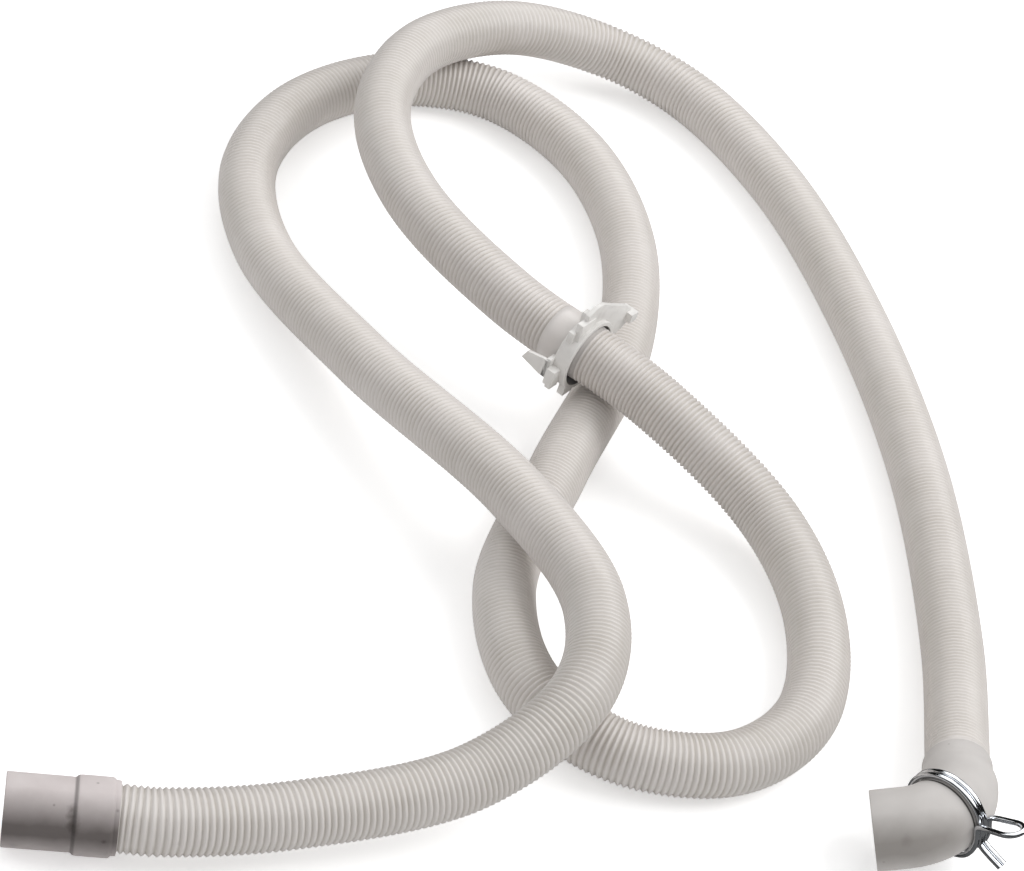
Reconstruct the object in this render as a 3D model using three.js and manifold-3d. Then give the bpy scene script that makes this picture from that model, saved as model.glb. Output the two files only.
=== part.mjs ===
// Washing machine drain hose, lying on the floor in loose loops.
// Millimetres, +Z up. The origin is on the floor, under the middle of the loops.
// A long corrugated plastic hose has a plain rubber cuff on one end and a rubber
// elbow on the other. A bent wire spring clamp sits on the elbow, and a plastic
// panel collar hangs on the hose where it crosses itself.
import * as THREE from 'three';
import { mergeVertices } from 'three/addons/utils/BufferGeometryUtils.js';
import Module from 'manifold-3d';

// Hose
const hoseOuterR = 13;
const hoseWall = 2.3;
const hoseSides = 12;
const hoseSteps = 80;
const hoseRoute = [
  [-153.5, -297.1, 15.6], [-139.3, -294.3, 16.4], [-123.6, -291.3, 17.2], [-79.6, -272.2, 18.2],
  [-16.3, -231.4, 23.5], [15.7, -188.4, 39.5], [12.7, -138.4, 43.5], [-27.3, -80.4, 41],
  [-105.3, 3.6, 25], [-162.3, 78.6, 14], [-181.3, 140.6, 13.2], [-168.3, 199.6, 13.2],
  [-129.3, 241.6, 13.2], [-84.3, 249.6, 13.2], [-40.3, 221.6, 13.2], [-8.3, 162.6, 13.2],
  [2.7, 78.6, 13.2], [-12.3, -22.4, 13.2], [-22.3, -108.4, 13.2], [-2.3, -162.4, 13.2],
  [34.7, -185.4, 13.2], [79.7, -176.4, 13.2], [105.7, -139.4, 13.2], [104.7, -78.4, 13.6],
  [78.7, -26.4, 19], [20.7, 8.6, 37.5], [-51.3, 47.6, 44.5], [-105.3, 103.6, 45],
  [-129.3, 165.6, 44.5], [-121.3, 227.6, 42.5], [-84.3, 276.6, 35], [-36.3, 302.6, 19.5],
  [5.7, 291.6, 13.9], [55.7, 236.6, 13.2], [102.7, 145.6, 13.2], [139.7, 40.6, 13.3],
  [161.7, -69.4, 13.9], [166.9, -137.6, 18.9], [167.5, -153.7, 21], [168, -167.1, 22.7],
];

// Fit of the rubber ends over the hose, on the radius
const hoseFit = 0.35;

// The elbow's bore takes the hose, and its outside carries the clamp
const elbowBoreR = hoseOuterR + hoseFit;

// End cuff
const cuffLip = [-139.3, -294.3, 16.4];
const cuffAzimuth = -169;
const cuffDip = 3;
const cuffLipLength = 1.8;
const cuffLipWall = 0.6;
const cuffCollarLength = 14.3;
const cuffCollarWall = 1.55;
const cuffSleeveLength = 25.6;
const cuffSleeveWall = 2.65;
const cuffBoreR = 11.3;
const cuffSocketExtra = 0.6;
const cuffSocketSlope = 2;
const cuffLipEdge = 0.3;
const cuffStepSlope = 0.3;
const cuffRoundLength = 1;
const cuffRoundDepth = 0.7;
const cuffMouthEdge = 0.4;
const cuffSegments = 32;

// Elbow
const elbowInlet = [167.5, -153.7, 21];
const elbowCorner = [168.9, -190.6, 25.8];
const elbowOutlet = [138.2, -195.5, 14.9];
const elbowBendR = 22;
const elbowWall = 2.45;
const elbowInletWall = 0.6;
const elbowSleeve = 5.5;
const elbowShoulder = 9;
const elbowSides = 28;
const elbowBendSteps = 10;
const elbowOuterR = elbowBoreR + elbowWall;

// Spring clamp, one wire bent double; its place is a share of the elbow's bend
const clampShare = 0.43;
const wireR = 1.2;
const wireGap = 0.2;
const clampFit = 0.3;
const wireSides = 8;
const tabAngle = -30;
const tabReach = 12.4;
const eyeAngle = 6;
const eyeReach = 19;
const eyeRound = 4.4;
const eyeSpreadStart = 262;
const eyeSpreadEnd = 318;
const bandStepAngle = 9;

// Panel collar, in its own frame: X out of its mouth along the hose, Z up
const collarPlace = [-11.9, 24.7, 40.9];
const collarAzimuth = -27.5;
const collarDip = 4;
const collarFit = 1.7;
const collarBoreR = hoseOuterR + collarFit;
const collarWall = 2.1;
const collarLength = 7.5;
const collarSegments = 40;
const flangeBack = 4.2;
const flangeThick = 2.2;
const flangeOutline = [
  [-6, 12], [-7.5, 24], [-3, 26.2], [2.5, 26.2], [10.3, 21.8], [16.4, 18.6], [25.5, 13.8],
  [32, 8.8], [32.6, 3.2], [27.5, 0], [15, -2],
];
// The tongue is a plate on the left, drawn as X and Z
const tongueOuterY = -21.2;
const tongueThick = 1.8;
const tongueOutline = [
  [-6.8, 2.4], [-10, 2.4], [-18, 0.8], [-20, -3.7], [-10, -6.3], [-6.8, -6.3],
];
// Lugs as boxes: low corner and high corner
const collarLugs = [
  [[-9, -21.2, -6.3], [-6.8, -14, 2.4]],
  [[-6.9, -21.4, -9], [-2.6, -14, -1]],
  [[-4.6, -11.6, 12], [-1.4, -1.6, 21]],
  [[-7.2, -5, 14], [-4.4, -1.4, 22.4]],
  [[-6.2, -14, 11], [-3.4, -10.4, 16.6]],
  [[-7.4, -17, -14], [-4.6, -11, -9]],
  [[-3.4, -11.6, -17.2], [-0.2, -5, -12]],
  [[-6.2, 27.6, 4.6], [1, 32.6, 9.2]],
];

const rad = THREE.MathUtils.degToRad;
const vec = ([x, y, z]) => new THREE.Vector3(x, y, z);

const hosePlastic = new THREE.MeshStandardMaterial({ color: 0xd3d0cb, roughness: 0.42 });
const cuffRubber = new THREE.MeshStandardMaterial({ color: 0xbdb6b6, roughness: 0.62 });
const elbowRubber = new THREE.MeshStandardMaterial({ color: 0xbfbbb9, roughness: 0.58 });
const collarPlastic = new THREE.MeshStandardMaterial({ color: 0xe6e4e1, roughness: 0.4 });
const clampWire = new THREE.MeshStandardMaterial({
  color: 0xc9cbce, roughness: 0.18, metalness: 1,
});

function named(name, geometry, material) {
  const mesh = new THREE.Mesh(geometry, material);
  mesh.name = name;
  return mesh;
}

// Points a piece's +X along an azimuth and a dip below level, and puts it in place
function aimed(mesh, place, azimuth, dip) {
  const group = new THREE.Group();
  group.add(mesh);
  group.rotation.set(0, rad(dip), rad(azimuth), 'ZYX');
  group.position.copy(vec(place));
  return group;
}

function polygonPoints(radius, sides) {
  const points = [];
  for (let i = 0; i < sides; i++) {
    const angle = (2 * Math.PI * (i + 0.5)) / sides;
    points.push(new THREE.Vector2(radius * Math.cos(angle), radius * Math.sin(angle)));
  }
  return points;
}

// The corrugated hose as a plain tube of its crest diameter, open at both ends
function hose() {
  const path = new THREE.CatmullRomCurve3(hoseRoute.map(vec), false, 'centripetal');
  path.arcLengthDivisions = 2000;
  const section = new THREE.Shape(polygonPoints(hoseOuterR, hoseSides));
  const bore = polygonPoints(hoseOuterR - hoseWall, hoseSides);
  section.holes.push(new THREE.Path(bore));
  const geometry = new THREE.ExtrudeGeometry(section, {
    steps: hoseSteps,
    extrudePath: path,
  });
  return named('corrugated_hose', geometry, hosePlastic);
}

// A rubber cuff: plain sleeve, thicker collar and thin lip in one moulding.
// Its profile runs along +Y from the lip to the mouth and closes on itself.
function endCuff() {
  const socketR = hoseOuterR + hoseFit;
  const lipR = socketR + cuffLipWall;
  const collarR = socketR + cuffCollarWall;
  const sleeveR = cuffBoreR + cuffSleeveWall;
  const socketDepth = cuffLipLength + cuffCollarLength - cuffSocketExtra;
  const stepAt = cuffLipLength + cuffCollarLength;
  const length = stepAt + cuffSleeveLength;
  const profile = [
    [socketR, 0], [lipR - cuffLipEdge, 0], [lipR, cuffLipEdge], [lipR, cuffLipLength],
    [collarR - cuffRoundDepth, cuffLipLength + cuffStepSlope],
    [collarR, cuffLipLength + cuffRoundLength], [collarR, stepAt - cuffRoundLength],
    [collarR - cuffRoundDepth, stepAt], [sleeveR, stepAt + cuffStepSlope],
    [sleeveR, length - cuffMouthEdge], [sleeveR - cuffMouthEdge, length],
    [cuffBoreR + cuffMouthEdge, length], [cuffBoreR, length - cuffMouthEdge],
    [cuffBoreR, socketDepth + cuffSocketSlope], [socketR, socketDepth], [socketR, 0],
  ];
  const points = profile.map(([r, y]) => new THREE.Vector2(r, y));
  const geometry = new THREE.LatheGeometry(points, cuffSegments);
  const mesh = named('end_cuff', geometry, cuffRubber);
  mesh.rotation.z = -Math.PI / 2;
  return aimed(mesh, cuffLip, cuffAzimuth, cuffDip);
}

// Centre line of the elbow: straight leg, bend, straight leg
function elbowFrame() {
  const inlet = vec(elbowInlet);
  const corner = vec(elbowCorner);
  const outlet = vec(elbowOutlet);
  const along = corner.clone().sub(inlet).normalize();
  const away = outlet.clone().sub(corner).normalize();
  const normal = away.clone().cross(along).normalize();
  const turn = along.angleTo(away);
  const outward = along.clone().sub(away).normalize();
  const bendCentre = corner.clone().addScaledVector(outward, -elbowBendR / Math.cos(turn / 2));
  return { inlet, corner, outlet, along, away, normal, turn, outward, bendCentre };
}

function elbowStations() {
  const f = elbowFrame();
  const stations = [];
  const straight = (from, direction, distance, radius) => {
    const centre = from.clone().addScaledVector(direction, distance);
    stations.push({ centre, direction, radius });
  };
  const shoulderRise = elbowWall - elbowInletWall;
  straight(f.inlet, f.along, 0, elbowBoreR + elbowInletWall);
  for (const share of [0, 0.2, 0.4, 0.7, 1]) {
    const swell = Math.sin((share * Math.PI) / 2) ** 1.5;
    const radius = elbowBoreR + elbowInletWall + shoulderRise * swell;
    straight(f.inlet, f.along, elbowSleeve + share * elbowShoulder, radius);
  }
  for (let i = 0; i <= elbowBendSteps; i++) {
    const angle = (f.turn * i) / elbowBendSteps;
    const direction = f.along.clone().applyAxisAngle(f.normal, -angle);
    const arm = direction.clone().cross(f.normal).multiplyScalar(-elbowBendR);
    stations.push({ centre: f.bendCentre.clone().add(arm), direction, radius: elbowOuterR });
  }
  straight(f.outlet, f.away, 0, elbowOuterR);
  return stations;
}

// The wall between the outer rings and the bore rings of a bent pipe
function bentPipe(stations, boreR, normal, sides) {
  const rings = stations.map((s) => ({ ...s }));
  for (const s of [...stations].reverse()) {
    rings.push({ ...s, radius: boreR });
  }
  const positions = [];
  for (const { centre, direction, radius } of rings) {
    const side = direction.clone().cross(normal).normalize();
    for (let i = 0; i < sides; i++) {
      const angle = (2 * Math.PI * i) / sides;
      const point = centre.clone();
      point.addScaledVector(side, radius * Math.cos(angle));
      point.addScaledVector(normal, radius * Math.sin(angle));
      positions.push(point.x, point.y, point.z);
    }
  }
  const index = [];
  for (let r = 0; r < rings.length; r++) {
    const next = (r + 1) % rings.length;
    for (let i = 0; i < sides; i++) {
      const j = (i + 1) % sides;
      const a = r * sides + i;
      const b = r * sides + j;
      const c = next * sides + j;
      const d = next * sides + i;
      index.push(a, c, b, a, d, c);
    }
  }
  const geometry = new THREE.BufferGeometry();
  geometry.setAttribute('position', new THREE.Float32BufferAttribute(positions, 3));
  geometry.setIndex(index);
  return geometry;
}

function elbow() {
  const { normal } = elbowFrame();
  const geometry = bentPipe(elbowStations(), elbowBoreR, normal, elbowSides);
  return named('elbow', geometry, elbowRubber);
}

// The clamp stands square round the elbow's bend. Angles run round the elbow
// from its outer corner over the top; "aside" is along the elbow.
function clampPoint(angle, reach, aside) {
  const f = elbowFrame();
  const beforeMiddle = f.turn * (0.5 - clampShare);
  const outward = f.outward.clone().applyAxisAngle(f.normal, beforeMiddle);
  const sideways = f.along.clone().add(f.away).normalize();
  sideways.applyAxisAngle(f.normal, beforeMiddle);
  const middle = f.bendCentre.clone().addScaledVector(outward, elbowBendR);
  const top = f.normal.clone();
  if (top.z < 0) top.negate();
  middle.addScaledVector(outward, reach * Math.cos(rad(angle)));
  middle.addScaledVector(top, reach * Math.sin(rad(angle)));
  middle.addScaledVector(sideways, aside);
  return middle;
}

function clampHalf(side) {
  const bandR = elbowOuterR + clampFit + wireR;
  const closeAside = side * (wireR + wireGap / 2);
  const wideAside = side * (3 * wireR + 1.5 * wireGap);
  const points = [];
  points.push(clampPoint(tabAngle - 3, bandR + tabReach, closeAside));
  points.push(clampPoint(tabAngle - 2, bandR + tabReach * 0.55, closeAside));
  points.push(clampPoint(tabAngle, bandR + 2 * wireR, closeAside));
  points.push(clampPoint(tabAngle + 3, bandR + 0.4 * wireR, closeAside));
  for (let a = tabAngle + bandStepAngle; a < 360 + eyeAngle - 6; a += bandStepAngle) {
    const spread = THREE.MathUtils.smoothstep(a, eyeSpreadStart, eyeSpreadEnd);
    points.push(clampPoint(a, bandR, closeAside + (wideAside - closeAside) * spread));
  }
  points.push(clampPoint(eyeAngle - 2, bandR + 0.5 * wireR, wideAside));
  points.push(clampPoint(eyeAngle, bandR + 2.3 * wireR, wideAside));
  points.push(clampPoint(eyeAngle, bandR + eyeReach * 0.5, wideAside * 1.12));
  points.push(clampPoint(eyeAngle, bandR + eyeReach - eyeRound, wideAside * 1.12));
  points.push(clampPoint(eyeAngle, bandR + eyeReach - 0.32 * eyeRound, wideAside * 0.72));
  return points;
}

function springClamp() {
  const bandR = elbowOuterR + clampFit + wireR;
  const tip = clampPoint(eyeAngle, bandR + eyeReach, 0);
  const route = [...clampHalf(1), tip, ...clampHalf(-1).reverse()];
  const path = new THREE.CatmullRomCurve3(route, false, 'centripetal');
  path.arcLengthDivisions = 1200;
  const section = new THREE.Shape(polygonPoints(wireR, wireSides));
  const geometry = new THREE.ExtrudeGeometry(section, { steps: 130, extrudePath: path });
  return named('spring_clamp', geometry, clampWire);
}

// Closed solids for joining the collar's ring, flange and lugs
function solidOf(wasm, geometry) {
  const bare = geometry.clone();
  bare.deleteAttribute('normal');
  bare.deleteAttribute('uv');
  const merged = mergeVertices(bare, 1e-4);
  return new wasm.Manifold(new wasm.Mesh({
    numProp: 3,
    vertProperties: new Float32Array(merged.attributes.position.array),
    triVerts: new Uint32Array(merged.index.array),
  }));
}

function geometryOf(solid) {
  const mesh = solid.getMesh();
  const geometry = new THREE.BufferGeometry();
  geometry.setAttribute('position', new THREE.Float32BufferAttribute(mesh.vertProperties, 3));
  geometry.setIndex(Array.from(mesh.triVerts));
  return geometry;
}

function collarRing(innerR, outerR) {
  const points = [[innerR, 0], [outerR, 0], [outerR, collarLength], [innerR, collarLength], [innerR, 0]];
  const profile = points.map(([r, y]) => new THREE.Vector2(r, y));
  const geometry = new THREE.LatheGeometry(profile, collarSegments);
  geometry.rotateZ(Math.PI / 2);
  return geometry;
}

function collarFlange() {
  const outline = new THREE.Shape(flangeOutline.map(([y, z]) => new THREE.Vector2(y, z)));
  const geometry = new THREE.ExtrudeGeometry(outline, { depth: flangeThick, bevelEnabled: false });
  geometry.rotateY(Math.PI / 2);
  geometry.rotateX(Math.PI / 2);
  geometry.translate(-flangeBack, 0, 0);
  return geometry;
}

function collarTongue() {
  const outline = new THREE.Shape(tongueOutline.map(([x, z]) => new THREE.Vector2(x, z)));
  const geometry = new THREE.ExtrudeGeometry(outline, { depth: tongueThick, bevelEnabled: false });
  geometry.rotateX(Math.PI / 2);
  geometry.translate(0, tongueOuterY + tongueThick, 0);
  return geometry;
}

function boreCutter() {
  const geometry = new THREE.CylinderGeometry(collarBoreR, collarBoreR, 4 * collarLength, collarSegments);
  geometry.rotateZ(Math.PI / 2);
  return geometry;
}

async function panelCollar() {
  const wasm = await Module();
  wasm.setup();
  const ring = solidOf(wasm, collarRing(collarBoreR - 0.2, collarBoreR + collarWall));
  let body = ring.add(solidOf(wasm, collarFlange()));
  body = body.add(solidOf(wasm, collarTongue()));
  for (const [low, high] of collarLugs) {
    const size = high.map((v, i) => v - low[i]);
    const lug = new THREE.BoxGeometry(...size);
    lug.translate(...high.map((v, i) => (v + low[i]) / 2));
    body = body.add(solidOf(wasm, lug));
  }
  body = body.subtract(solidOf(wasm, boreCutter()));
  const mesh = named('panel_collar', geometryOf(body), collarPlastic);
  return aimed(mesh, collarPlace, collarAzimuth, collarDip);
}

const drainHose = new THREE.Group();
drainHose.add(hose());
drainHose.add(endCuff());
drainHose.add(elbow());
drainHose.add(springClamp());
drainHose.add(await panelCollar());

export default drainHose;
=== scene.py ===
# %% [markdown]
# # A washing machine drain hose
# A long corrugated hose lies on the floor in loose loops. It has a plain rubber cuff
# on one end and a rubber elbow with a wire clamp on the other. A white plastic collar
# hangs on the middle of it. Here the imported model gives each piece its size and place,
# and Blender gives the pieces their ribs, rounded rims and finishes.

import math

import bpy
import numpy as np
from mathutils import Matrix, Vector


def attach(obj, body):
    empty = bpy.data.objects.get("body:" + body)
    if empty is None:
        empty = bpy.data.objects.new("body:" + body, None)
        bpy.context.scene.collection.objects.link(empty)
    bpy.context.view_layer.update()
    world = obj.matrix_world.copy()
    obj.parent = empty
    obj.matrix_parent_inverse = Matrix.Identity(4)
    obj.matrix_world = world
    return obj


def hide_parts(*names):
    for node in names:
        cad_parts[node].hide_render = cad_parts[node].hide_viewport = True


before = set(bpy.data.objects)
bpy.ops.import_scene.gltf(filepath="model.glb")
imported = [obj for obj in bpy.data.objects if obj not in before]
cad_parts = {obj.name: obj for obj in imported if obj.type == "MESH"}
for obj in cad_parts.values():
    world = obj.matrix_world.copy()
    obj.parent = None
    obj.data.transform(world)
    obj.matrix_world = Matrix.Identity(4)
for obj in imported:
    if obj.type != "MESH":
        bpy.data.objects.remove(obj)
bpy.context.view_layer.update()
print("nodes:", sorted(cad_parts))

# %% [markdown]
# ## Camera
# The camera stands about 1.7 m away and looks down on the loops at 37 degrees. It is
# rolled, so the hose lies slantwise in the frame. A long lens keeps the far loops
# nearly as wide as the near ones, which is how the ribs showed the lens length.

# %% The camera
CAMERA_PLACE = Vector((-0.035, -1.3251, 1.0174))
CAMERA_DOWN = math.radians(37.3)
CAMERA_ROLL = math.radians(14.5)
LENS_MM = 137.1


def add_camera():
    forward = Vector((0, math.cos(CAMERA_DOWN), -math.sin(CAMERA_DOWN)))
    level = Vector((1, 0, 0))
    raised = level.cross(forward)
    right = math.cos(CAMERA_ROLL) * level + math.sin(CAMERA_ROLL) * raised
    up = right.cross(forward)
    data = bpy.data.cameras.new("photo_camera")
    data.sensor_fit = "HORIZONTAL"
    data.sensor_width = 36.0
    data.lens = LENS_MM
    data.clip_end = 30.0
    camera = bpy.data.objects.new("photo_camera", data)
    turn = Matrix((right, up, -forward)).transposed().to_4x4()
    camera.matrix_world = Matrix.Translation(CAMERA_PLACE) @ turn
    bpy.context.scene.collection.objects.link(camera)
    bpy.context.scene.camera = camera
    return camera


camera = add_camera()
print("camera at", tuple(round(v, 3) for v in CAMERA_PLACE))

# %% [markdown]
# ## The route of the hose
# The hose is a fixed length of something springy, so its shape is one smooth line.
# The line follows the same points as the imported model, in metres, and the same kind
# of curve runs through them. It rises over itself at four crossings and otherwise
# lies on the floor.

# %% The line that the hose follows
ROUTE = [
    (-0.1535, -0.2971, 0.0156), (-0.1393, -0.2943, 0.0164), (-0.1236, -0.2913, 0.0172),
    (-0.0796, -0.2722, 0.0182), (-0.0163, -0.2314, 0.0235), (0.0157, -0.1884, 0.0395),
    (0.0127, -0.1384, 0.0435), (-0.0273, -0.0804, 0.041), (-0.1053, 0.0036, 0.025),
    (-0.1623, 0.0786, 0.014), (-0.1813, 0.1406, 0.0132), (-0.1683, 0.1996, 0.0132),
    (-0.1293, 0.2416, 0.0132), (-0.0843, 0.2496, 0.0132), (-0.0403, 0.2216, 0.0132),
    (-0.0083, 0.1626, 0.0132), (0.0027, 0.0786, 0.0132), (-0.0123, -0.0224, 0.0132),
    (-0.0223, -0.1084, 0.0132), (-0.0023, -0.1624, 0.0132), (0.0347, -0.1854, 0.0132),
    (0.0797, -0.1764, 0.0132), (0.1057, -0.1394, 0.0132), (0.1047, -0.0784, 0.0136),
    (0.0787, -0.0264, 0.019), (0.0207, 0.0086, 0.0375), (-0.0513, 0.0476, 0.0445),
    (-0.1053, 0.1036, 0.045), (-0.1293, 0.1656, 0.0445), (-0.1213, 0.2276, 0.0425),
    (-0.0843, 0.2766, 0.035), (-0.0363, 0.3026, 0.0195), (0.0057, 0.2916, 0.0139),
    (0.0557, 0.2366, 0.0132), (0.1027, 0.1456, 0.0132), (0.1397, 0.0406, 0.0133),
    (0.1617, -0.0694, 0.0139), (0.1669, -0.1376, 0.0189), (0.1675, -0.1537, 0.021),
    (0.168, -0.1671, 0.0227),
]


def smooth_line(points, steps):
    """Points along the centripetal Catmull-Rom curve through a list of points."""
    p = np.array(points, dtype=float)
    p = np.vstack([2 * p[0] - p[1], p, 2 * p[-1] - p[-2]])
    line = []
    for i in range(1, len(p) - 2):
        p0, p1, p2, p3 = p[i - 1:i + 3]
        d0, d1, d2 = (np.linalg.norm(b - a) ** 0.5 for a, b in ((p0, p1), (p1, p2), (p2, p3)))
        t1 = ((p1 - p0) / d0 - (p2 - p0) / (d0 + d1) + (p2 - p1) / d1) * d1
        t2 = ((p2 - p1) / d1 - (p3 - p1) / (d1 + d2) + (p3 - p2) / d2) * d1
        u = np.linspace(0, 1, steps, endpoint=False)[:, None]
        line.append(p1 * (2 * u ** 3 - 3 * u ** 2 + 1) + t1 * (u ** 3 - 2 * u ** 2 + u)
                    + p2 * (3 * u ** 2 - 2 * u ** 3) + t2 * (u ** 3 - u ** 2))
    return np.vstack(line + [p[-2:-1]])


line = smooth_line(ROUTE, 200)
line_at = np.concatenate([[0], np.cumsum(np.linalg.norm(np.diff(line, axis=0), axis=1))])
HOSE_LENGTH = float(line_at[-1])
print(f"hose length {HOSE_LENGTH:.3f} m")

# %% [markdown]
# ## The ribs
# The real hose is extruded and blown into a chain of mould blocks, which leaves a round
# rib every 2 to 3 mm. The pitch drifts along the hose, and a short list gives it in
# millimetres at places measured in metres. Displacement would need a far finer mesh,
# and a texture would give a straight edge to the hose, so each rib is made of four
# rings: a narrow groove, two shoulders and a crest. The plain stretches are a neck at
# each end and a band beside the collar. The wall inside is a plain tube, so that the
# open ends are hollow.

# %% Where the rings go and how wide each one is
HOSE_R = 0.013
RIB_SHAPE = [(0.0, 0.01185, 1.0), (0.27, 0.01255, 0.3), (0.5, 0.013, 0.0), (0.73, 0.01255, 0.3)]
BORE_R = 0.0108
RIB_PITCH = [
    (0.00, 2.56), (0.11, 2.50), (0.17, 2.30), (0.23, 2.10), (0.29, 2.17), (0.35, 2.36), (0.47, 2.40),
    (0.62, 2.42), (0.77, 2.50), (0.90, 2.42), (1.07, 2.12), (1.19, 2.06), (1.31, 2.34), (1.43, 2.38),
    (1.50, 2.28), (1.55, 2.02), (1.61, 2.10), (1.67, 2.28), (1.76, 2.45), (1.91, 2.62), (1.97, 2.76),
    (2.05, 2.58), (2.20, 2.25), (2.33, 2.16), (2.50, 2.18),
]
NECK_AT_CUFF = 0.0145
NECK_AT_ELBOW = 0.0155
COLLAR_PLACE = Vector((-0.0119, 0.0247, 0.0409))
BAND_BEFORE, BAND_AFTER = 0.0005, 0.0185
RIB_GAP = 0.0006
CUFF_NECK_STEP, PLAIN_STEP = 0.005, 0.004
BORE_RINGS = 180
HOSE_SIDES = 22
PITCH_SAMPLES = 4000

collar_at = float(line_at[np.argmin(np.linalg.norm(line - np.array(COLLAR_PLACE), axis=1))])


def ribbed_stretch(start, end):
    """Rings of one ribbed stretch as (place along the line, radius, groove share)."""
    fine = np.linspace(start, end, PITCH_SAMPLES)
    pitch = np.interp(fine, [p[0] for p in RIB_PITCH], [p[1] / 1000 for p in RIB_PITCH])
    turns = np.concatenate([[0], np.cumsum(np.diff(fine) / pitch[1:])])
    count = round(turns[-1])
    rings = []
    for i in range(count):
        for share, radius, depth in RIB_SHAPE:
            at = float(np.interp((i + share) / count * turns[-1], turns, fine))
            rings.append((at, radius, depth))
    return rings


def plain_stretch(start, end, step):
    """Rings of one plain stretch, at the width of the crests."""
    count = max(2, round((end - start) / step))
    return [(start + (end - start) * i / count, HOSE_R, 0.0) for i in range(count + 1)]


outer_rings = (
    plain_stretch(0.0, NECK_AT_CUFF, CUFF_NECK_STEP)
    + ribbed_stretch(NECK_AT_CUFF + RIB_GAP, collar_at + BAND_BEFORE - RIB_GAP)
    + plain_stretch(collar_at + BAND_BEFORE, collar_at + BAND_AFTER, PLAIN_STEP)
    + ribbed_stretch(collar_at + BAND_AFTER + RIB_GAP, HOSE_LENGTH - NECK_AT_ELBOW - RIB_GAP)
    + plain_stretch(HOSE_LENGTH - NECK_AT_ELBOW, HOSE_LENGTH, PLAIN_STEP)
)
inner_at = np.linspace(HOSE_LENGTH, 0, BORE_RINGS)
rings = outer_rings + [(at, BORE_R, 0.0) for at in inner_at]
print(sum(r[2] == 1.0 for r in outer_rings), "ribs,", len(rings) * HOSE_SIDES * 2, "triangles")

# %% [markdown]
# ## The hose mesh
# A frame is carried along the line without twisting, so the faces of one ring meet
# those of the next straight on. The UV map runs along and round the hose in metres,
# and a second attribute says how deep in a groove each point is, for the dust there.

# %% Build the hose
LINE_SAMPLES = 5001


def untwisted_sides(tangents):
    """A side direction for each tangent, turned as little as possible on the way."""
    side = np.cross(tangents[0], [0, 0, 1.0])
    sides = []
    for tangent in tangents:
        side = side - tangent * np.dot(side, tangent)
        side = side / np.linalg.norm(side)
        sides.append(side)
    return np.array(sides)


def interpolated(at, places, values):
    """Vectors at some places, read off a list of vectors at known places."""
    return np.stack([np.interp(at, places, values[:, k]) for k in range(3)], axis=1)


def along_line(at):
    return interpolated(at, line_at, line)


def build_hose():
    order = np.linspace(0, HOSE_LENGTH, LINE_SAMPLES)
    tangents = np.gradient(along_line(order), axis=0)
    tangents /= np.linalg.norm(tangents, axis=1)[:, None]
    sides = untwisted_sides(tangents)
    at = np.array([r[0] for r in rings])
    radius = np.array([r[1] for r in rings])
    groove = np.array([r[2] for r in rings])
    tangent, side = interpolated(at, order, tangents), interpolated(at, order, sides)
    tangent /= np.linalg.norm(tangent, axis=1)[:, None]
    side -= tangent * np.sum(side * tangent, axis=1)[:, None]
    side /= np.linalg.norm(side, axis=1)[:, None]
    across = np.cross(tangent, side)
    angle = 2 * np.pi * np.arange(HOSE_SIDES) / HOSE_SIDES
    spokes = (side[:, None] * np.cos(angle)[None, :, None]
              + across[:, None] * np.sin(angle)[None, :, None])
    points = along_line(at)[:, None] + radius[:, None, None] * spokes
    n, k = len(rings), HOSE_SIDES
    ring = np.arange(n)[:, None] * k
    after = ((np.arange(n) + 1) % n)[:, None] * k
    here, there = np.arange(k)[None, :], (np.arange(k) + 1)[None, :] % k
    faces = np.stack([ring + here, ring + there, after + there, after + here], axis=2)
    mesh = bpy.data.meshes.new("corrugated_hose_ribs")
    mesh.from_pydata(points.reshape(-1, 3).tolist(), [], faces.reshape(-1, 4).tolist())
    uv = mesh.uv_layers.new(name="along_and_round")
    turn = np.arange(k) / k * 2 * math.pi * HOSE_R
    step = 2 * math.pi * HOSE_R / k
    corners = np.empty((n, k, 4, 2))
    corners[..., 0] = at[:, None, None]
    corners[:, :, 2:, 0] = np.roll(at, -1)[:, None, None]
    corners[..., 1] = turn[None, :, None]
    corners[:, :, 1:3, 1] += step
    uv.data.foreach_set("uv", corners.reshape(-1).astype(np.float32))
    depth = mesh.attributes.new("groove", "FLOAT", "POINT")
    depth.data.foreach_set("value", np.repeat(groove, k).astype(np.float32))
    mesh.polygons.foreach_set("use_smooth", [True] * len(mesh.polygons))
    mesh.validate()
    piece = bpy.data.objects.new("corrugated_hose_ribs", mesh)
    bpy.context.scene.collection.objects.link(piece)
    return piece


hose = build_hose()
print("hose mesh:", len(hose.data.polygons), "quads")

# %% [markdown]
# ## Helpers for the moulded pieces
# The cuff, the elbow and the ring of the collar are all rings of points pushed out one
# after another. Each starts as one circle, and each next ring is an edge extrude that
# is moved and resized, as a modeller does by hand.

# %% Rings pushed out one after another
ops = bpy.ops


def nothing_selected():
    if bpy.context.mode != "OBJECT":
        ops.object.mode_set(mode="OBJECT")
    ops.object.select_all(action="DESELECT")


def start_circle(name, radius, sides):
    """A bare circle at the origin, in edit mode with its ring selected."""
    nothing_selected()
    ops.mesh.primitive_circle_add(vertices=sides, radius=radius, fill_type="NOTHING")
    piece = bpy.context.object
    piece.name = name
    piece.data.name = name
    ops.object.mode_set(mode="EDIT")
    ops.mesh.select_all(action="SELECT")
    return piece


def next_ring(centre, direction, step, factor):
    """Push the selected ring out along a direction and resize it about its centre."""
    ops.mesh.extrude_edges_move(TRANSFORM_OT_translate={"value": tuple(direction * step)})
    centre = centre + direction * step
    ops.transform.resize(value=(factor,) * 3, center_override=tuple(centre))
    return centre


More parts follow.
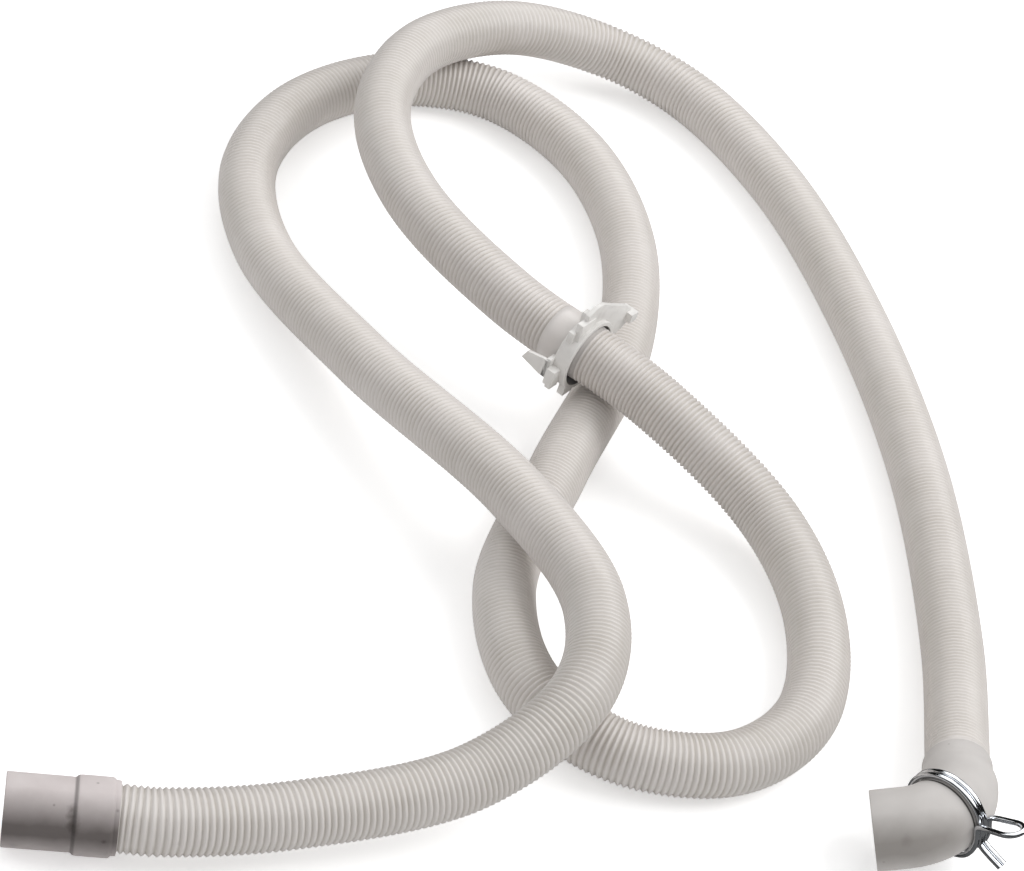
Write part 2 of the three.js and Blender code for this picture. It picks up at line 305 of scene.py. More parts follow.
def ring_profile(centre, direction, profile, radius):
    """Push out one ring for each (step, new radius) pair."""
    for step, new_radius in profile:
        centre = next_ring(centre, direction, step, new_radius / radius)
        radius = new_radius
    return centre, radius


def close_rings(piece):
    """Join the last ring to the first where they meet, and turn all faces outwards."""
    ops.mesh.select_all(action="SELECT")
    ops.mesh.remove_doubles(threshold=0.00002)
    ops.mesh.normals_make_consistent(inside=False)
    ops.object.mode_set(mode="OBJECT")


def placed(piece, matrix, smooth_angle=40):
    """Put a finished piece where it belongs, with its place in its mesh."""
    piece.matrix_world = matrix
    nothing_selected()
    piece.select_set(True)
    bpy.context.view_layer.objects.active = piece
    ops.object.transform_apply(location=True, rotation=True, scale=True)
    ops.object.shade_smooth_by_angle(angle=math.radians(smooth_angle))
    return piece


def axes_matrix(x, y, z, place):
    return Matrix.Translation(place) @ Matrix((x, y, z)).transposed().to_4x4()


# %% [markdown]
# ## The end cuff
# The cuff is one compression moulding in soft rubber. It has a pale lip where the hose
# goes in, a thicker collar that grips the hose, and a plain sleeve that goes over the
# waste spigot. It is turned from its profile, up the outside and back down the bore.

# %% Model the cuff
CUFF_LIP = Vector((-0.1393, -0.2943, 0.0164))
CUFF_AZIMUTH, CUFF_DIP = math.radians(-169), math.radians(3)
CUFF_OUTSIDE = [(0.0004, 0.0139), (0.0010, 0.01398), (0.0003, 0.01392), (0.0002, 0.0140),
                (0.0002, 0.0143), (0.0004, 0.01468), (0.0007, 0.0149), (0.011, 0.0149), (0.0011, 0.0148),
                (0.0006, 0.01455), (0.0003, 0.0142), (0.0003, 0.0139), (0.0007, 0.01382),
                (0.0012, 0.0139), (0.0230, 0.01395), (0.0004, 0.01385), (0.0002, 0.0136)]
CUFF_SOCKET_R, CUFF_BORE_R, CUFF_LIP_R = 0.01335, 0.0113, 0.0137
CUFF_SOCKET_DEPTH, CUFF_SLOPE = 0.0155, 0.002
CUFF_MOUTH = [(0.0, 0.0117), (-0.0003, 0.01142), (-0.0005, CUFF_BORE_R)]
CUFF_SIDES = 72
cuff_aim = Matrix.Rotation(CUFF_AZIMUTH, 4, "Z") @ Matrix.Rotation(CUFF_DIP + math.pi / 2, 4, "Y")
cuff_along = (cuff_aim @ Vector((0, 0, 1, 0))).to_3d()


def model_cuff():
    piece = start_circle("rubber_end_cuff", CUFF_SOCKET_R, CUFF_SIDES)
    up = Vector((0, 0, 1))
    outside = [(0.0, CUFF_LIP_R)] + CUFF_OUTSIDE
    centre, radius = ring_profile(Vector(), up, outside, CUFF_SOCKET_R)
    length = centre.z
    centre, radius = ring_profile(centre, up, CUFF_MOUTH, radius)
    bore = centre.z - (CUFF_SOCKET_DEPTH + CUFF_SLOPE)
    back = [(-bore, CUFF_BORE_R), (-CUFF_SLOPE, CUFF_SOCKET_R), (-CUFF_SOCKET_DEPTH, CUFF_SOCKET_R)]
    ring_profile(centre, up, back, radius)
    close_rings(piece)
    print(f"cuff {length * 1000:.1f} mm long")
    return placed(piece, Matrix.Translation(CUFF_LIP) @ cuff_aim, 50)


cuff = model_cuff()

# %% [markdown]
# ## The elbow
# The elbow is one rubber moulding too. Its wall swells from a thin inlet edge to a
# full shoulder, turns by 86 degrees and ends in a plain mouth. The circle is pushed
# along the first leg, spun round the bend and pushed out along the second leg. The
# bore goes back the same way.

# %% Model the elbow
ELBOW_INLET = Vector((0.1675, -0.1537, 0.021))
ELBOW_CORNER = Vector((0.1689, -0.1906, 0.0258))
ELBOW_OUTLET = Vector((0.1382, -0.1955, 0.0149))
ELBOW_BEND_R = 0.022
ELBOW_R = 0.0158
ELBOW_BORE_R = 0.01335
ELBOW_INLET_R = 0.01395
SLEEVE, SHOULDER = 0.0055, 0.009
INLET_EDGE, INLET_EDGE_LENGTH = 0.0003, 0.0004
MOUTH_EDGE_LENGTH = 0.0006
MOUTH_OUTSIDE = [(0.0004, -0.00012), (0.0002, -0.0004)]
MOUTH_INSIDE = [(0.0, 0.0005), (-0.0002, 0.00015), (-0.0004, 0.0)]
ELBOW_SIDES, SHOULDER_STEPS, BEND_STEPS = 64, 8, 22

elbow_in = (ELBOW_CORNER - ELBOW_INLET).normalized()
elbow_out = (ELBOW_OUTLET - ELBOW_CORNER).normalized()
elbow_turn = elbow_in.angle(elbow_out)
elbow_normal = elbow_out.cross(elbow_in).normalized()
setback = ELBOW_BEND_R * math.tan(elbow_turn / 2)
first_leg = (ELBOW_CORNER - ELBOW_INLET).length - setback
second_leg = (ELBOW_OUTLET - ELBOW_CORNER).length - setback


def model_elbow():
    start_r = ELBOW_INLET_R - INLET_EDGE
    piece = start_circle("rubber_elbow", start_r, ELBOW_SIDES)
    up = Vector((0, 0, 1))
    half_sleeve = ((SLEEVE - INLET_EDGE_LENGTH) / 2, ELBOW_INLET_R)
    swell = [(INLET_EDGE_LENGTH, ELBOW_INLET_R), half_sleeve, half_sleeve]
    for i in range(1, SHOULDER_STEPS + 1):
        rise = math.sin(i / SHOULDER_STEPS * math.pi / 2) ** 1.5
        swell.append((SHOULDER / SHOULDER_STEPS, ELBOW_INLET_R + (ELBOW_R - ELBOW_INLET_R) * rise))
    centre, radius = ring_profile(Vector(), up, swell, start_r)
    centre, radius = ring_profile(centre, up, [(first_leg - centre.z, ELBOW_R)], radius)
    pivot = Vector((ELBOW_BEND_R, 0, first_leg))
    ops.mesh.spin(steps=BEND_STEPS, angle=-elbow_turn, center=pivot, axis=(0, 1, 0))
    away = Vector((math.sin(elbow_turn), 0, math.cos(elbow_turn)))
    centre = pivot + ELBOW_BEND_R * Vector((-math.cos(elbow_turn), 0, math.sin(elbow_turn)))
    plain = second_leg - MOUTH_EDGE_LENGTH
    mouth = [(plain / 2, ELBOW_R), (plain / 2, ELBOW_R)]
    mouth += [(step, ELBOW_R + change) for step, change in MOUTH_OUTSIDE]
    mouth += [(step, ELBOW_BORE_R + change) for step, change in MOUTH_INSIDE]
    centre, radius = ring_profile(centre, away, mouth, ELBOW_R)
    ring_profile(centre, away, [(-plain, ELBOW_BORE_R)], radius)
    ops.mesh.spin(steps=BEND_STEPS, angle=elbow_turn, center=pivot, axis=(0, 1, 0))
    foot = Vector((0, 0, first_leg))
    foot, radius = ring_profile(foot, up, [(-first_leg, ELBOW_BORE_R)], ELBOW_BORE_R)
    ring_profile(foot, up, [(0.0, start_r)], radius)
    close_rings(piece)
    across = -elbow_normal
    print(f"elbow turns {math.degrees(elbow_turn):.1f} degrees")
    return placed(piece, axes_matrix(across.cross(elbow_in), across, elbow_in, ELBOW_INLET), 50)


elbow = model_elbow()

# %% [markdown]
# ## The spring clamp
# The clamp is one length of hard round wire, bent double. Both runs of the wire go
# round the elbow. Their cut ends pass between the legs of the eye, and pliers squeeze
# the ends towards the eye to open the clamp. A curve with a round bevel is the
# natural tool for bent wire, and it is turned into a mesh at the end. The clamp stands
# square on the bend, a little before its middle.

# %% Model the clamp
WIRE_R = 0.0012
WIRE_GAP = 0.0002
CLAMP_FIT = 0.0003
BAND_R = ELBOW_R + CLAMP_FIT + WIRE_R
CLAMP_SHARE = 0.43
TAB_ANGLE, TAB_REACH = -30, 0.0124
EYE_ANGLE, EYE_REACH = 6, 0.019
EYE_SPREAD = (262, 318)
EYE_BULGE, EYE_TIP_WIDTH = 1.12, 0.72
EYE_ROUND, EYE_TIP_ROUND = 0.0044, 0.0014
WIRE_STEP, BEFORE_EYE = 9, 6

outward = (elbow_in - elbow_out).normalized()
bend_centre = ELBOW_CORNER - outward * (ELBOW_BEND_R / math.cos(elbow_turn / 2))
before_middle = Matrix.Rotation(elbow_turn * (0.5 - CLAMP_SHARE), 3, elbow_normal)
clamp_outward = before_middle @ outward
clamp_along = before_middle @ (elbow_in + elbow_out).normalized()
clamp_middle = bend_centre + clamp_outward * ELBOW_BEND_R
upward = elbow_normal if elbow_normal.z > 0 else -elbow_normal


def clamp_point(angle, reach, aside):
    turn = math.radians(angle)
    return (clamp_middle + clamp_outward * (reach * math.cos(turn))
            + upward * (reach * math.sin(turn)) + clamp_along * aside)


def clamp_half(side):
    close, wide = side * (WIRE_R + WIRE_GAP / 2), side * (3 * WIRE_R + 1.5 * WIRE_GAP)
    points = [clamp_point(TAB_ANGLE - 3, BAND_R + TAB_REACH, close),
              clamp_point(TAB_ANGLE - 2, BAND_R + TAB_REACH * 0.55, close),
              clamp_point(TAB_ANGLE, BAND_R + 2 * WIRE_R, close),
              clamp_point(TAB_ANGLE + 3, BAND_R + 0.4 * WIRE_R, close)]
    for angle in range(TAB_ANGLE + WIRE_STEP, 360 + EYE_ANGLE - BEFORE_EYE, WIRE_STEP):
        share = min(max((angle - EYE_SPREAD[0]) / (EYE_SPREAD[1] - EYE_SPREAD[0]), 0), 1)
        spread = share * share * (3 - 2 * share)
        points.append(clamp_point(angle, BAND_R, close + (wide - close) * spread))
    points += [clamp_point(EYE_ANGLE - 2, BAND_R + 0.5 * WIRE_R, wide),
               clamp_point(EYE_ANGLE, BAND_R + 2.3 * WIRE_R, wide),
               clamp_point(EYE_ANGLE, BAND_R + EYE_REACH * 0.5, wide * EYE_BULGE),
               clamp_point(EYE_ANGLE, BAND_R + EYE_REACH - EYE_ROUND, wide * EYE_BULGE),
               clamp_point(EYE_ANGLE, BAND_R + EYE_REACH - EYE_TIP_ROUND, wide * EYE_TIP_WIDTH)]
    return points


def model_clamp():
    tip = clamp_point(EYE_ANGLE, BAND_R + EYE_REACH, 0)
    route = clamp_half(1) + [tip] + clamp_half(-1)[::-1]
    wire_line = smooth_line(route, 6)
    data = bpy.data.curves.new("clamp_wire", "CURVE")
    data.dimensions = "3D"
    data.bevel_depth = WIRE_R
    data.bevel_resolution = 3
    data.use_fill_caps = True
    spline = data.splines.new("POLY")
    spline.points.add(len(wire_line) - 1)
    spline.points.foreach_set("co", np.hstack([wire_line, np.ones((len(wire_line), 1))]).reshape(-1))
    piece = bpy.data.objects.new("spring_clamp_wire", data)
    bpy.context.scene.collection.objects.link(piece)
    nothing_selected()
    piece.select_set(True)
    bpy.context.view_layer.objects.active = piece
    ops.object.convert(target="MESH")
    piece = bpy.context.object
    ops.object.mode_set(mode="EDIT")
    ops.mesh.select_all(action="SELECT")
    ops.mesh.remove_doubles(threshold=0.00001)
    ops.mesh.normals_make_consistent(inside=False)
    ops.object.mode_set(mode="OBJECT")
    ops.object.shade_smooth_by_angle(angle=math.radians(50))
    print("clamp wire", len(piece.data.polygons), "faces")
    return piece


clamp = model_clamp()

# %% [markdown]
# ## The panel collar
# The collar is one white injection moulding. Its ring hangs on the hose, its flat ear
# bears on the machine's rear panel, and its lugs clip behind the panel. The ring comes
# from a circle, the ear and the tongue from flat outlines that are extruded, and the
# lugs from boxes. The outlines and the corners of the boxes are in millimetres. Every
# edge gets a small bevel, because a sharp edge would not catch the light.

# %% Model the collar
COLLAR_TURN = math.radians(-27.5)
COLLAR_DIP = math.radians(4)
COLLAR_BORE_R = 0.0147
COLLAR_WALL = 0.0021
COLLAR_LENGTH = 0.0075
COLLAR_EDGE = 0.0003
COLLAR_SIDES = 72
BORE_CLEARANCE = 0.0001
FLANGE = [(-6, 12), (-7.5, 24), (-3, 26.2), (2.5, 26.2), (10.3, 21.8), (16.4, 18.6), (25.5, 13.8),
          (32, 8.8), (32.6, 3.2), (27.5, 0), (15, -2)]
FLANGE_BACK, FLANGE_THICK = 0.0042, 0.0022
TONGUE = [(-6.8, 2.4), (-10, 2.4), (-18, 0.8), (-20, -3.7), (-10, -6.3), (-6.8, -6.3)]
TONGUE_Y, TONGUE_THICK = -0.0212, 0.0018
LUGS = [
    ((-9, -21.2, -6.3), (-6.8, -14, 2.4)),
    ((-6.9, -21.4, -9), (-2.6, -14, -1)),
    ((-4.6, -11.6, 12), (-1.4, -1.6, 21)),
    ((-7.2, -5, 14), (-4.4, -1.4, 22.4)),
    ((-6.2, -14, 11), (-3.4, -10.4, 16.6)),
    ((-7.4, -17, -14), (-4.6, -11, -9)),
    ((-3.4, -11.6, -17.2), (-0.2, -5, -12)),
    ((-6.2, 27.6, 4.6), (1, 32.6, 9.2)),
]


def model_collar_ring():
    inner, outer = COLLAR_BORE_R, COLLAR_BORE_R + COLLAR_WALL
    edge = COLLAR_EDGE
    piece = start_circle("collar_ring", inner + edge, COLLAR_SIDES)
    up = Vector((0, 0, 1))
    flat = COLLAR_LENGTH - 2 * edge
    profile = [(0.0, outer - edge), (edge, outer), (flat, outer), (edge, outer - edge),
               (0.0, inner + edge), (-edge, inner), (-flat, inner), (-edge, inner + edge)]
    ring_profile(Vector(), up, profile, inner + edge)
    close_rings(piece)
    lengthwise = axes_matrix(Vector((0, 1, 0)), Vector((0, 0, 1)), Vector((1, 0, 0)),
                             Vector((-COLLAR_LENGTH, 0, 0)))
    return placed(piece, lengthwise)


def model_plate(name, outline, push):
    """A flat outline, filled and extruded by one push."""
    mesh = bpy.data.meshes.new(name)
    mesh.from_pydata(outline, [], [list(range(len(outline)))])
    piece = bpy.data.objects.new(name, mesh)
    bpy.context.scene.collection.objects.link(piece)
    nothing_selected()
    piece.select_set(True)
    bpy.context.view_layer.objects.active = piece
    ops.object.mode_set(mode="EDIT")
    ops.mesh.select_all(action="SELECT")
    ops.mesh.extrude_region_move(TRANSFORM_OT_translate={"value": push})
    ops.mesh.select_all(action="SELECT")
    ops.mesh.normals_make_consistent(inside=False)
    ops.object.mode_set(mode="OBJECT")
    return piece


def model_lug(low, high):
    """A box between two corners in millimetres."""
    nothing_selected()
    centre = (Vector(low) + Vector(high)) / 2000
    ops.mesh.primitive_cube_add(size=1, location=centre, scale=(Vector(high) - Vector(low)) / 1000)
    lug = bpy.context.object
    ops.object.transform_apply(location=True, rotation=True, scale=True)
    return lug


def applied(piece, kind, **settings):
    """Add a modifier, set it up and apply it."""
    nothing_selected()
    piece.select_set(True)
    bpy.context.view_layer.objects.active = piece
    modifier = piece.modifiers.new(kind.lower(), kind)
    for name, value in settings.items():
        setattr(modifier, name, value)
    ops.object.modifier_apply(modifier=modifier.name)
    return piece


def bored(piece):
    """Cut the collar's bore through a piece."""
    nothing_selected()
    ops.mesh.primitive_cylinder_add(vertices=COLLAR_SIDES, radius=COLLAR_BORE_R + BORE_CLEARANCE,
                                    depth=0.06, rotation=(0, math.pi / 2, 0))
    cutter = bpy.context.object
    applied(piece, "BOOLEAN", operation="DIFFERENCE", object=cutter, solver="EXACT")
    bpy.data.objects.remove(cutter)
    return piece


def model_collar():
    ear = [(-FLANGE_BACK, y / 1000, z / 1000) for y, z in FLANGE]
    tongue = [(x / 1000, TONGUE_Y, z / 1000) for x, z in TONGUE]
    pieces = [model_collar_ring(), bored(model_plate("collar_ear", ear, (FLANGE_THICK, 0, 0))),
              model_plate("collar_tongue", tongue, (0, TONGUE_THICK, 0))]
    pieces += [bored(model_lug(low, high)) for low, high in LUGS]
    for piece in pieces[1:]:
        applied(piece, "BEVEL", width=COLLAR_EDGE, segments=2, limit_method="ANGLE",
                angle_limit=math.radians(40))
    nothing_selected()
    for piece in pieces:
        piece.select_set(True)
    bpy.context.view_layer.objects.active = pieces[0]
    ops.object.join()
    collar = bpy.context.object
    collar.name = "panel_collar_moulding"
    collar.data.name = "panel_collar_moulding"
    return placed(collar, Matrix.Translation(COLLAR_PLACE) @ collar_turn, 35)


collar_turn = Matrix.Rotation(COLLAR_TURN, 4, "Z") @ Matrix.Rotation(COLLAR_DIP, 4, "Y")
collar_along = (collar_turn @ Vector((1, 0, 0, 0))).to_3d()
collar = model_collar()
print("collar faces:", len(collar.data.polygons))

# %% [markdown]
# ## Material helpers
# Every colour is written as it looks on a screen and turned to the linear value that
# Blender needs. One function adds a node, sets it and links it.

# %% Colours and nodes
def linear(hex_colour):
    channels = [int(hex_colour[i:i + 2], 16) / 255 for i in (0, 2, 4)]
    return tuple(c / 12.92 if c <= 0.04045 else ((c + 0.055) / 1.055) ** 2.4 for c in channels) + (1.0,)


def add_node(tree, kind, inputs=None, **settings):
    """Add a node; inputs maps sockets to values or to other nodes' outputs."""
    node = tree.nodes.new(kind)
    for name, value in settings.items():
        setattr(node, name, value)
    for key, value in (inputs or {}).items():
        if isinstance(value, bpy.types.NodeSocket):
            tree.links.new(value, node.inputs[key])
        else:
            node.inputs[key].default_value = value
    return node


def new_material(name, base, roughness, **shader_inputs):
    """A material with a Principled shader; returns it with its tree and shader."""
    material = bpy.data.materials.new(name)
    material.use_nodes = True
    tree = material.node_tree
    shader = tree.nodes["Principled BSDF"]
    shader.inputs["Base Color"].default_value = linear(base)
    shader.inputs["Roughness"].default_value = roughness
    for key, value in shader_inputs.items():
        shader.inputs[key.replace("_", " ")].default_value = value
    material.diffuse_color = linear(base)
    return material, tree, shader


def noise_on(tree, vector, scale, detail=3.0):
    return add_node(tree, "ShaderNodeTexNoise", {"Vector": vector, "Scale": scale, "Detail": detail})


def ranged(tree, value, low, high, from_low=0.3, from_high=0.7):
    """Spread a value over a new range, by default from the usual range of a noise."""
    node = add_node(tree, "ShaderNodeMapRange", {0: value, 1: from_low, 2: from_high, 3: low, 4: high})
    return node.outputs[0]


def mixed(tree, factor, first, second):
    """The first colour where the factor is 0, and the second where it is 1."""
    node = add_node(tree, "ShaderNodeMix", data_type="RGBA")
    for key, value in ((0, factor), (6, first), (7, second)):
        if isinstance(value, bpy.types.NodeSocket):
            tree.links.new(value, node.inputs[key])
        else:
            node.inputs[key].default_value = value
    return node.outputs[2]


def wear(piece, material):
    """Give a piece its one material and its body."""
    piece.data.materials.clear()
    piece.data.materials.append(material)
    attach(piece, "root")


# %% [markdown]
# ## Blown polypropylene
# The hose is natural polypropylene with a little grey pigment, extruded and blown. Its
# skin is half gloss, so each crest carries a soft highlight. Dust lies in the grooves.
# The tone drifts slightly along the hose, in patches about 60 mm long. The scale of each
# pattern is its patches per metre, so a scale of 16 gives patches of about 60 mm.

# %% The hose's finish
TONE_DRIFT, DUST_PATCHES, SKIN_PATCHES = 16.0, 55.0, 260.0


def blown_polypropylene():
    material, tree, shader = new_material("blown_polypropylene", "DAD8D4", 0.34, IOR=1.49)
    place = add_node(tree, "ShaderNodeTexCoord").outputs["Object"]
    groove = add_node(tree, "ShaderNodeAttribute", attribute_name="groove").outputs["Fac"]
    drift = ranged(tree, noise_on(tree, place, TONE_DRIFT).outputs["Fac"], 0.0, 1.0)
    body = mixed(tree, drift, linear("E2DDDA"), linear("DBD6D2"))
    dusty = ranged(tree, noise_on(tree, place, DUST_PATCHES).outputs["Fac"], 0.32, 0.6)
    amount = add_node(tree, "ShaderNodeMath", {0: groove, 1: dusty}, operation="MULTIPLY")
    body = mixed(tree, amount.outputs[0], body, linear("A59C8C"))
    tree.links.new(body, shader.inputs["Base Color"])
    skin = noise_on(tree, place, SKIN_PATCHES).outputs["Fac"]
    tree.links.new(ranged(tree, skin, 0.32, 0.42), shader.inputs["Roughness"])
    return material


wear(hose, blown_polypropylene())

# %% [markdown]
# ## Moulded rubber
# The cuff and the elbow are grey mineral-filled rubber from a steel mould. The skin is
# matt, with a fine grain of about 0.4 mm. Handling has left a few dark spots, and dirt has
# gathered on the cuff's step. Painted shade lies in a band along the low front side of
# each sleeve, where little light reaches, and in a dark line beside the clamp's wire. A
# spot is a distance from a point, the shaded band a distance from a line, and the dark
# line beside the step or the wire a distance from a plane.

# %% The rubber finishes
RUBBER_CLOUDS, RUBBER_GRAIN = 70.0, 2500.0
SPOT_CLOUDS, SHADE_BAND_CLOUDS = 320.0, 130.0


def smudge(tree, place, centre, reach, strength):
    """How dirty a point is near a centre, from 0 to strength."""
    rough = noise_on(tree, place, SPOT_CLOUDS, 4.0).outputs["Fac"]
    away = add_node(tree, "ShaderNodeVectorMath", {0: place, 1: centre}, operation="DISTANCE")
    ragged = add_node(tree, "ShaderNodeMath", {0: rough, 1: reach * 1.1, 2: away.outputs["Value"]},
                      operation="MULTIPLY_ADD")
    return ranged(tree, ragged.outputs[0], strength, 0.0, reach * 0.5, reach * 1.6)


def dirt_and_shade_line(tree, place, point, along, reach, strength):
    """How dark a point is near the plane through one point, square to a direction: dirt on the cuff's
    step, painted shade beside the clamp's wire.
    """
    away = add_node(tree, "ShaderNodeVectorMath", {0: place, 1: point}, operation="SUBTRACT").outputs[0]
    height = add_node(tree, "ShaderNodeVectorMath", {0: away, 1: along}, operation="DOT_PRODUCT")
    side = add_node(tree, "ShaderNodeMath", {0: height.outputs["Value"]}, operation="ABSOLUTE").outputs[0]
    return ranged(tree, side, strength, 0.0, reach * 0.4, reach)


def off_line(tree, place, point, along):
    """How far a point is from the line through one point in one direction."""
    away = add_node(tree, "ShaderNodeVectorMath", {0: place, 1: point}, operation="SUBTRACT").outputs[0]
    square = add_node(tree, "ShaderNodeVectorMath", {0: away, 1: along}, operation="CROSS_PRODUCT")
    length = add_node(tree, "ShaderNodeVectorMath", {0: square.outputs[0]}, operation="LENGTH")
    return length.outputs["Value"]


def painted_shade_band(tree, place, point, along, near, far, strength):
    """How much painted shade lies on the side of a sleeve along one line of it."""
    away = off_line(tree, place, point, along)
    cloud = noise_on(tree, place, SHADE_BAND_CLOUDS, 4.0).outputs["Fac"]
    ragged = add_node(tree, "ShaderNodeMath", {0: cloud, 1: near * 1.2, 2: away},
                      operation="MULTIPLY_ADD")
    return ranged(tree, ragged.outputs[0], strength, 0.0, near * 1.6, far)


def moulded_rubber(name, base, shade, dirt_and_shade, smudges, line, side):
    material, tree, shader = new_material(name, base, 0.6, IOR=1.5)
    place = add_node(tree, "ShaderNodeTexCoord").outputs["Object"]
    cloudy = ranged(tree, noise_on(tree, place, RUBBER_CLOUDS, 5.0).outputs["Fac"], 0.0, 1.0)
    body = mixed(tree, cloudy, linear(base), linear(shade))
    for centre, reach, strength in smudges:
        body = mixed(tree, smudge(tree, place, centre, reach, strength), body, linear(dirt_and_shade))
    # Painted shade: a dark band along the low front side of the sleeve, where little light reaches.
    body = mixed(tree, painted_shade_band(tree, place, *side), body, linear(dirt_and_shade))
    # A dark line: dirt along the cuff's step, and painted shade beside the clamp's wire where it presses
    # on the rubber.
    body = mixed(tree, dirt_and_shade_line(tree, place, *line), body, linear("2E2A28"))
    tree.links.new(body, shader.inputs["Base Color"])
    grain = noise_on(tree, place, RUBBER_GRAIN, 2.0).outputs["Fac"]
    bump = add_node(tree, "ShaderNodeBump", {"Strength": 0.18, "Distance": 0.0001, "Height": grain})
    tree.links.new(bump.outputs["Normal"], shader.inputs["Normal"])
    tree.links.new(ranged(tree, grain, 0.55, 0.68), shader.inputs["Roughness"])
    return material


CUFF_SMUDGES = [
    ((-0.1549, -0.3062, 0.0267), 0.0024, 0.60),
    ((-0.1543, -0.3080, 0.0249), 0.0028, 0.90),
    ((-0.1534, -0.3098, 0.0222), 0.0027, 0.95),
    ((-0.1526, -0.3106, 0.0198), 0.0020, 0.60),
    ((-0.1413, -0.3097, 0.0181), 0.0011, 0.80),
    ((-0.1491, -0.2939, 0.0306), 0.0007, 0.60),
    ((-0.1619, -0.3066, 0.0267), 0.0006, 0.60),
    ((-0.1392, -0.3024, 0.0278), 0.0008, 0.50),
]
ELBOW_SMUDGES = [
    ((0.1499, -0.2078, 0.0255), 0.0030, 0.40),
    ((0.1439, -0.2105, 0.0142), 0.0007, 0.45),
    ((0.1608, -0.1558, 0.0335), 0.0006, 0.55),
]
cuff_step = CUFF_LIP + cuff_along * 0.0161
# The dark line beside the clamp's wire is painted shade, the shadow where wire meets rubber.
clamp_side = clamp_middle + clamp_along * 0.0029
# The last tuple in each call is the band of painted shade along the sleeve's low front side.
cuff_rubber = moulded_rubber("moulded_cuff_rubber", "D9D1D0", "CDC4C3", "453D39", CUFF_SMUDGES,
                             (cuff_step, cuff_along, 0.0010, 0.42),
                             (Vector((-0.1612, -0.3115, 0.0182)), cuff_along, 0.0022, 0.0165, 0.86))
elbow_rubber = moulded_rubber("moulded_elbow_rubber", "CECAC7", "C6C2BF", "78726C", ELBOW_SMUDGES,
                              (clamp_side, clamp_along, 0.0006, 0.95),
                              (Vector((0.1499, -0.2095, 0.0225)), elbow_out, 0.0030, 0.0160, 0.66))
wear(cuff, cuff_rubber)
wear(elbow, elbow_rubber)

# %% [markdown]
# ## Bright plated wire
# The clamp is hard-drawn steel wire with a bright zinc plating. Drawing leaves faint
# lines along the wire that only spread the reflections a little.

# %% The clamp's finish
PLATING_WEAR = 300.0


def plated_wire():
    material, tree, shader = new_material("bright_plated_wire", "E2E4E7", 0.07, Metallic=1.0)
    place = add_node(tree, "ShaderNodeTexCoord").outputs["Object"]
    worn = noise_on(tree, place, PLATING_WEAR, 3.0).outputs["Fac"]
    tree.links.new(ranged(tree, worn, 0.05, 0.11), shader.inputs["Roughness"])
    tone = mixed(tree, ranged(tree, worn, 0.0, 1.0), linear("E4E6E9"), linear("D2D5D9"))
    tree.links.new(tone, shader.inputs["Base Color"])
    return material


wear(clamp, plated_wire())

# %% [markdown]
# ## Moulded white plastic
# The collar is white polyamide from a polished mould, brighter and a little glossier
# than the hose, with a trace of grey where it has been handled. Its bore is painted
# near black, as painted shade for the narrow gap round the hose.

# %% The collar's finish
HANDLED_PATCHES, COLLAR_GRAIN = 140.0, 1500.0
BORE_SHADE_FROM, BORE_SHADE_TO = COLLAR_BORE_R + 0.0001, COLLAR_BORE_R + 0.0004


def moulded_white_plastic():
    material, tree, shader = new_material("moulded_white_polyamide", "ECEAE8", 0.34, IOR=1.53)
    place = add_node(tree, "ShaderNodeTexCoord").outputs["Object"]
    handled = ranged(tree, noise_on(tree, place, HANDLED_PATCHES, 4.0).outputs["Fac"], 0.0, 0.6, 0.5, 0.8)
    body = mixed(tree, handled, linear("EBE9E6"), linear("CFCCC8"))
    off_axis = off_line(tree, place, COLLAR_PLACE, collar_along)
    # Painted shade: the bore and the faces right beside it are painted near black, for the dark gap round
    # the hose.
    bore_shade = ranged(tree, off_axis, 0.92, 0.0, BORE_SHADE_FROM, BORE_SHADE_TO)
    tree.links.new(mixed(tree, bore_shade, body, linear("3A3633")), shader.inputs["Base Color"])
    fine = noise_on(tree, place, COLLAR_GRAIN, 2.0).outputs["Fac"]
    bump = add_node(tree, "ShaderNodeBump", {"Strength": 0.06, "Distance": 0.0001, "Height": fine})
    tree.links.new(bump.outputs["Normal"], shader.inputs["Normal"])
    return material


wear(collar, moulded_white_plastic())

# %% [markdown]
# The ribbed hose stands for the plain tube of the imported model, and the other pieces
# for their own solids. The hose is a free cord with its real length, its fittings on it.

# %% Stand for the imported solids
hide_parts("corrugated_hose")
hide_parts("end_cuff")
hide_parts("elbow")
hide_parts("spring_clamp")
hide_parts("panel_collar")

# %% [markdown]
# ## Floor, light and background
# A wide pale floor under soft light from above keeps the hose's own colours true. The
# floor gives a little light of its own, as a light table does, and more for the camera,
# so that it comes out white and still takes the hose's shadow. The world is bright
# above and dark low down, which gives the plated wire something dark to reflect.

# %% The floor
PAPER, PAPER_REFLECTED = (0.88, 0.88, 0.88, 1), (0.12, 0.12, 0.12, 1)
FLOOR_GLOW, FLOOR_GLOW_REFLECTED, FLOOR_GLOW_SEEN = 0.17, 0.02, 0.25
WHITE = (1, 1, 1, 1)


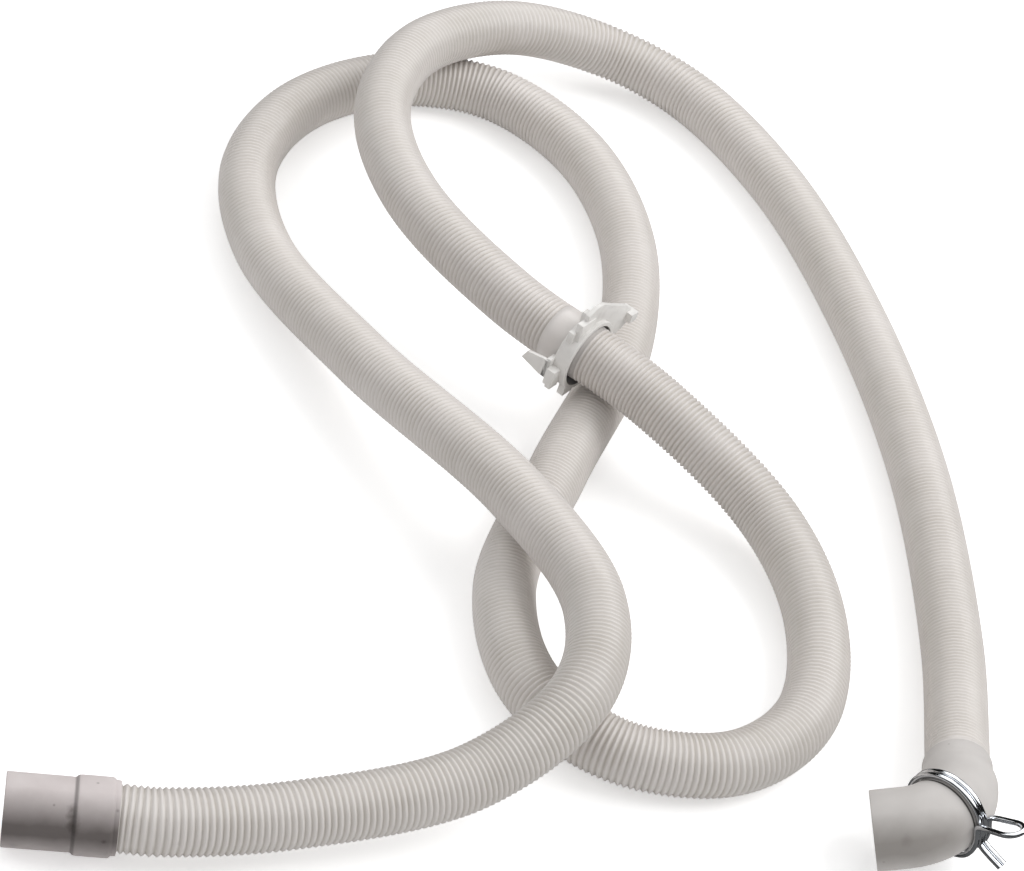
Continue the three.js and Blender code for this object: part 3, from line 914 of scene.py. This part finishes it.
def white_floor():
    material = bpy.data.materials.new("white_paper_floor")
    material.use_nodes = True
    tree = material.node_tree
    tree.nodes.clear()
    seen = add_node(tree, "ShaderNodeLightPath").outputs
    tone = mixed(tree, seen["Is Glossy Ray"], PAPER, PAPER_REFLECTED)
    paper = add_node(tree, "ShaderNodeBsdfDiffuse", {"Color": tone})
    indirect = ranged(tree, seen["Is Glossy Ray"], FLOOR_GLOW, FLOOR_GLOW_REFLECTED, 0.0, 1.0)
    lift = add_node(tree, "ShaderNodeMath", {0: seen["Is Camera Ray"], 1: FLOOR_GLOW_SEEN, 2: indirect},
                    operation="MULTIPLY_ADD").outputs[0]
    glow = add_node(tree, "ShaderNodeEmission", {"Color": WHITE, "Strength": lift})
    both = add_node(tree, "ShaderNodeAddShader", {0: paper.outputs[0], 1: glow.outputs[0]})
    add_node(tree, "ShaderNodeOutputMaterial", {"Surface": both.outputs[0]})
    return material


nothing_selected()
ops.mesh.primitive_plane_add(size=12, location=(0, 0, -0.0002))
floor = bpy.context.object
floor.name = "floor"
floor.data.materials.append(white_floor())


# %% The lamps and the world
def softbox(name, place, aim, size, watts):
    data = bpy.data.lights.new(name, "AREA")
    data.shape = "RECTANGLE"
    data.size, data.size_y = size
    data.energy = watts
    lamp = bpy.data.objects.new(name, data)
    lamp.location = place
    lamp.rotation_euler = (Vector(aim) - Vector(place)).to_track_quat("-Z", "Y").to_euler()
    bpy.context.scene.collection.objects.link(lamp)
    return lamp


softbox("side_softbox", (1.5, 0.3, 1.8), (0, 0, 0), (1.7, 1.7), 28)
softbox("back_softbox", (-0.3, 1.7, 1.7), (0, 0.05, 0), (1.6, 0.9), 9)
softbox("left_softbox", (-1.6, -0.5, 1.1), (0, 0, 0), (1.0, 1.0), 3.5)


def studio_world():
    world = bpy.data.worlds.new("studio")
    world.use_nodes = True
    tree = world.node_tree
    tree.nodes.clear()
    direction = add_node(tree, "ShaderNodeTexCoord").outputs["Generated"]
    height = add_node(tree, "ShaderNodeSeparateXYZ", {0: direction}).outputs["Z"]
    soft = ranged(tree, height, 0.24, 0.66, 0.0, 0.8)
    sharp = ranged(tree, height, 0.01, 1.5, 0.55, 0.66)
    path = add_node(tree, "ShaderNodeLightPath").outputs
    lit = add_node(tree, "ShaderNodeMix", {0: path["Is Glossy Ray"], 2: soft, 3: sharp},
                   data_type="FLOAT")
    strength = add_node(tree, "ShaderNodeMix", {0: path["Is Camera Ray"], 2: lit.outputs[0], 3: 1.0},
                        data_type="FLOAT")
    light = add_node(tree, "ShaderNodeBackground",
                     {"Color": WHITE, "Strength": strength.outputs[0]})
    add_node(tree, "ShaderNodeOutputWorld", {"Surface": light.outputs[0]})
    bpy.context.scene.world = world


studio_world()
bpy.context.scene.view_settings.view_transform = "Standard"
